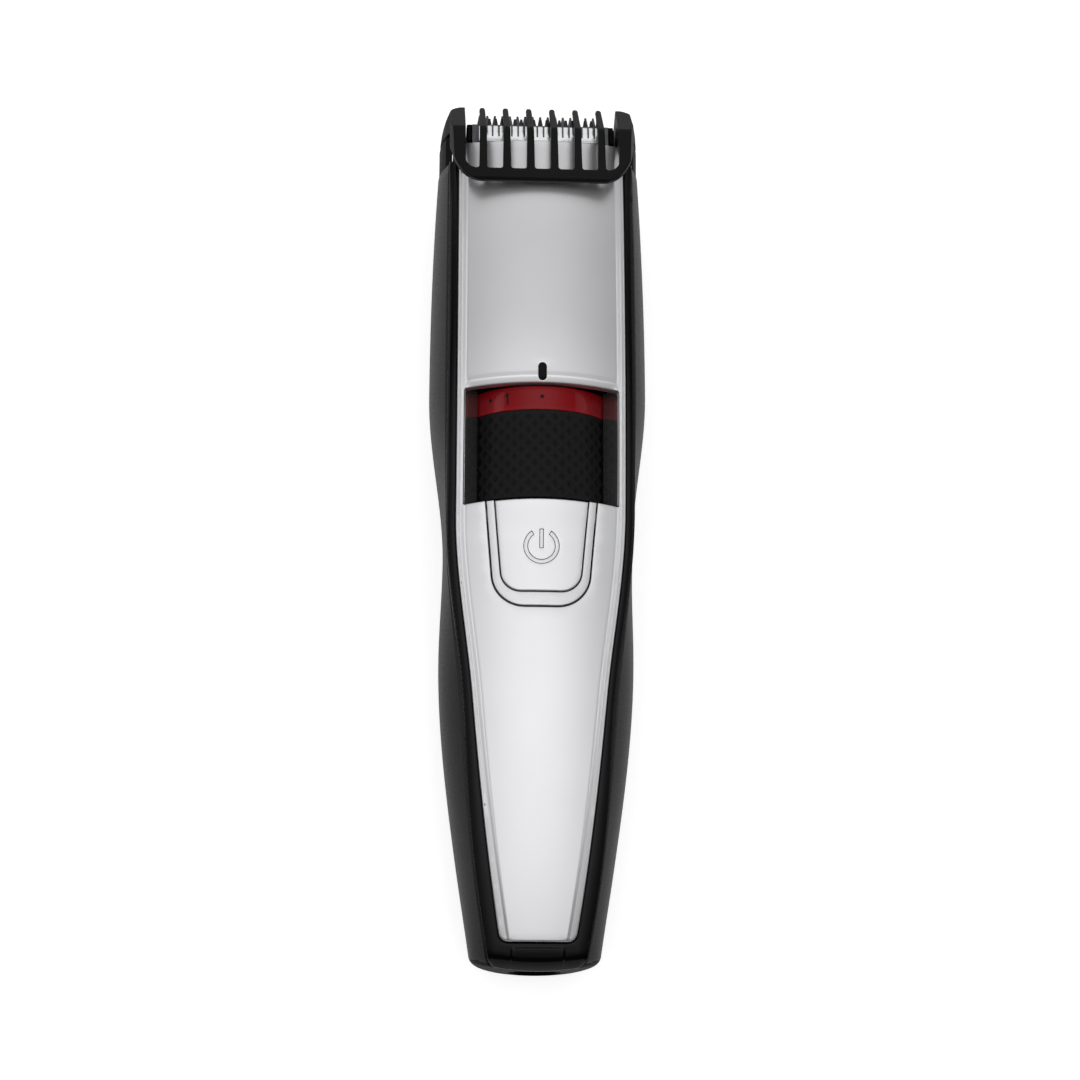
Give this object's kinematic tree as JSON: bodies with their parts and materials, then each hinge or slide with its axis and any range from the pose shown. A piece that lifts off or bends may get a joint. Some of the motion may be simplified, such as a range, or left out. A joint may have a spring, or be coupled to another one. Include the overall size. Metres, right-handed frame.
{
  "type": "beard trimmer",
  "caption": "Cordless beard trimmer: waisted handle with a crowned front panel, a length dial that drives a sliding guard comb, a power button and an oscillating steel cutter.",
  "frame": {"origin": "middle of the length and width, on the surface that the back lies on", "axes": "+Y along the handle towards the cutter, +Z out of the front panel, +X to the right seen from the front with the cutter up"},
  "size_m": [0.0464, 0.1854, 0.0367],
  "materials": {
    "satin_grey": "dark grey satin plastic",
    "gloss_black": "gloss black plastic",
    "silver": "satin silver paint on plastic",
    "pale_grey": "pale grey satin plastic",
    "grip_rubber": "black moulded rubber",
    "red": "dark red gloss plastic",
    "comb_black": "black satin plastic",
    "inner_plastic": "undyed moulded plastic",
    "blade_steel": "ground steel",
    "screw_steel": "plated steel",
    "motor_steel": "zinc plated steel",
    "contact_brass": "bright brass",
    "cell_wrap": "shrink film over the cell",
    "board_green": "solder mask",
    "component_black": "moulded packages",
    "light_clear": "clear lens"
  },
  "bodies": {
    "housing": {"back_shell": "satin_grey", "front_frame": "gloss_black", "front_panel": "silver", "dial_well": "gloss_black", "pointer_mark": "comb_black", "button_bezel": "pale_grey", "chassis": "inner_plastic", "drum_retainer": "screw_steel", "detent_spring": "screw_steel", "motor_mount": "inner_plastic", "motor_can": "motor_steel", "motor_end_cap": "component_black", "motor_terminals": "contact_brass", "motor_sleeve": "grip_rubber", "motor_screws": "screw_steel", "battery_cell": "cell_wrap", "battery_tabs": "screw_steel", "battery_cradle": "inner_plastic", "circuit_board": "board_green", "board_parts": "component_black", "board_screws": "screw_steel", "switch_body": "component_black", "status_light": "light_clear", "charge_socket": "gloss_black", "socket_contacts": "contact_brass", "housing_screws": "screw_steel", "blade_holder": "comb_black", "fixed_blade": "blade_steel", "blade_screws": "screw_steel", "blade_spring": "screw_steel"},
    "dial": {"dial_drum": "component_black", "dial_grip": "grip_rubber", "dial_scale_ring": "red"},
    "carriage": {"comb_carriage": "inner_plastic", "follower_pin": "screw_steel"},
    "comb": {"comb": "comb_black"},
    "button": {"power_button": "silver", "power_symbol": "pale_grey", "switch_plunger": "component_black"},
    "blade": {"moving_blade": "blade_steel", "drive_yoke": "inner_plastic"},
    "rotor": {"motor_shaft": "motor_steel", "eccentric_cam": "inner_plastic"}
  },
  "joints": [
    {"name": "dial_turn", "type": "hinge", "parent": "housing", "child": "dial", "pos_m": [0, 0.015, 0.0195], "axis": [0, 1, 0], "range_deg": [0, 294]},
    {"name": "carriage_slide", "type": "slide", "parent": "housing", "child": "carriage", "axis": [0, 1, 0], "range_m": [0, 0.007]},
    {"name": "comb_pull", "type": "slide", "parent": "carriage", "child": "comb", "axis": [0, 1, 0], "range_m": [0, 0.03]},
    {"name": "button_press", "type": "slide", "parent": "housing", "child": "button", "axis": [0, 0, -1], "range_m": [0, 0.0008], "stiffness_N_per_m": 2500},
    {"name": "blade_stroke", "type": "slide", "parent": "housing", "child": "blade", "axis": [1, 0, 0], "range_m": [-0.0012, 0.0012]},
    {"name": "rotor_spin", "type": "hinge", "parent": "housing", "child": "rotor", "pos_m": [0, 0.05, 0.0195], "axis": [0, 1, 0], "continuous": true}
  ],
  "couplings": [
    {"joint": "carriage_slide", "follows": "dial_turn", "m_per_rad": 0.0013642}
  ]
}
